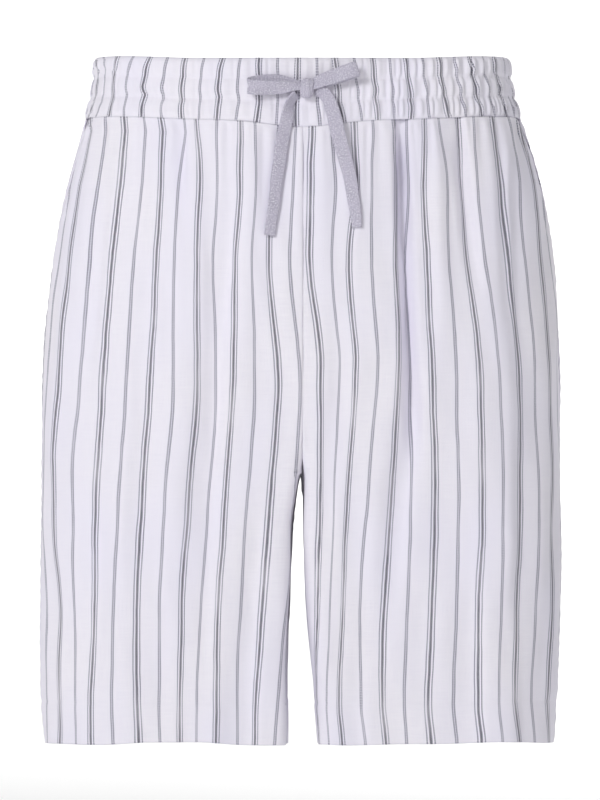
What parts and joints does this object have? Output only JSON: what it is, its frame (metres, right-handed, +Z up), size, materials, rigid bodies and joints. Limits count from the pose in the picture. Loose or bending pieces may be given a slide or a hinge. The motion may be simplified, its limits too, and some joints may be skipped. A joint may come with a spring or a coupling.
{
  "type": "bermuda shorts",
  "caption": "Knee-length striped summer shorts with a gathered elastic waistband, slanted side pockets and a tied drawstring, in the hollow form they have when worn.",
  "frame": {"origin": "middle of the waist opening, a little above half way up the waistband", "axes": "+Z up out of the waist, the front faces -Y, the wearer's left leg is at +X"},
  "size_m": [0.3936, 0.2392, 0.5182],
  "materials": {
    "striped_cloth": "matt plain weave in pale lilac white, with woven navy and grey stripes along the legs",
    "waistband_cloth": "the same striped cloth, gathered over elastic with two stitched rows",
    "drawstring_tape": "matt flat woven tape in heathered grey lilac"
  },
  "bodies": {
    "root": {"front_right": "striped_cloth", "front_left": "striped_cloth", "back_right": "striped_cloth", "back_left": "striped_cloth", "pocket_facing_right": "striped_cloth", "pocket_facing_left": "striped_cloth", "waistband_front": "waistband_cloth", "waistband_back": "waistband_cloth", "drawstring_knot": "drawstring_tape", "drawstring_loop_left": "drawstring_tape", "drawstring_loop_right": "drawstring_tape", "drawstring_tail_left": "drawstring_tape", "drawstring_tail_right": "drawstring_tape"}
  },
  "joints": []
}
